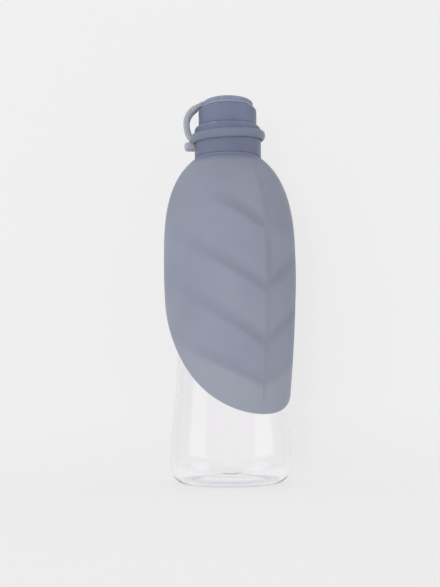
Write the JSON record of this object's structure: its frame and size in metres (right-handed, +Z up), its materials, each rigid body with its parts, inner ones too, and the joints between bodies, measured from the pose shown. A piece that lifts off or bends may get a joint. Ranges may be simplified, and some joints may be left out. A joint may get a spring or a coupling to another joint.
{
  "type": "pet water bottle",
  "caption": "Clear travel bottle for pets with a grey silicone leaf bowl folded down over it, a slate screw collar with a drinking spout, and a screw cap on a silicone tether.",
  "frame": {"origin": "on the bottle's axis, in the plane of the foot ring that it stands on", "axes": "+Z up along the bottle's axis, -Y towards the tip of the leaf, +X to the leaf's own left side when it is seen from the front"},
  "size_m": [0.0772, 0.0771, 0.2258],
  "materials": {
    "clear_pet": "clear and glossy, blown PET",
    "slate_plastic": "satin slate-blue moulded polypropylene",
    "grey_silicone": "matt grey-blue silicone, slightly translucent",
    "clear_silicone": "matt milky silicone"
  },
  "bodies": {
    "bottle": {"bottle_body": "clear_pet"},
    "gasket": {"collar_gasket": "clear_silicone"},
    "collar": {"spout_collar": "slate_plastic"},
    "leaf": {"leaf_bowl": "grey_silicone"},
    "liner": {"cap_liner": "clear_silicone"},
    "cap": {"cap_shell": "slate_plastic", "cap_button": "slate_plastic"},
    "tether": {"tether_ring": "grey_silicone", "tether_strap": "grey_silicone"},
    "eye": {"tether_eye": "grey_silicone"}
  },
  "joints": [
    {"name": "collar_rise", "type": "slide", "parent": "bottle", "child": "gasket", "axis": [0, 0, 1], "range_m": [0, 0.00875]},
    {"name": "collar_turn", "type": "hinge", "parent": "gasket", "child": "collar", "pos_m": [0, 0, 0.2035], "axis": [0, 0, 1], "range_deg": [0, 900]},
    {"name": "leaf_swivel", "type": "hinge", "parent": "collar", "child": "leaf", "pos_m": [0, 0, 0.1885], "axis": [0, 0, 1], "continuous": true},
    {"name": "cap_rise", "type": "slide", "parent": "collar", "child": "liner", "axis": [0, 0, 1], "range_m": [0, 0.009]},
    {"name": "cap_turn", "type": "hinge", "parent": "liner", "child": "cap", "pos_m": [0, 0, 0.217], "axis": [0, 0, 1], "range_deg": [0, 1080]},
    {"name": "tether_swivel", "type": "hinge", "parent": "collar", "child": "tether", "pos_m": [0, 0, 0.2021], "axis": [0, 0, 1], "continuous": true},
    {"name": "eye_rise", "type": "slide", "parent": "tether", "child": "eye", "axis": [0, 0, 1], "range_m": [0, 0.009], "deforming": ["tether_strap"]}
  ],
  "couplings": [
    {"joint": "collar_turn", "follows": "collar_rise", "rad_per_m": 1795.2},
    {"joint": "cap_turn", "follows": "cap_rise", "rad_per_m": 2094.4},
    {"joint": "eye_rise", "follows": "cap_rise", "ratio": 1}
  ]
}
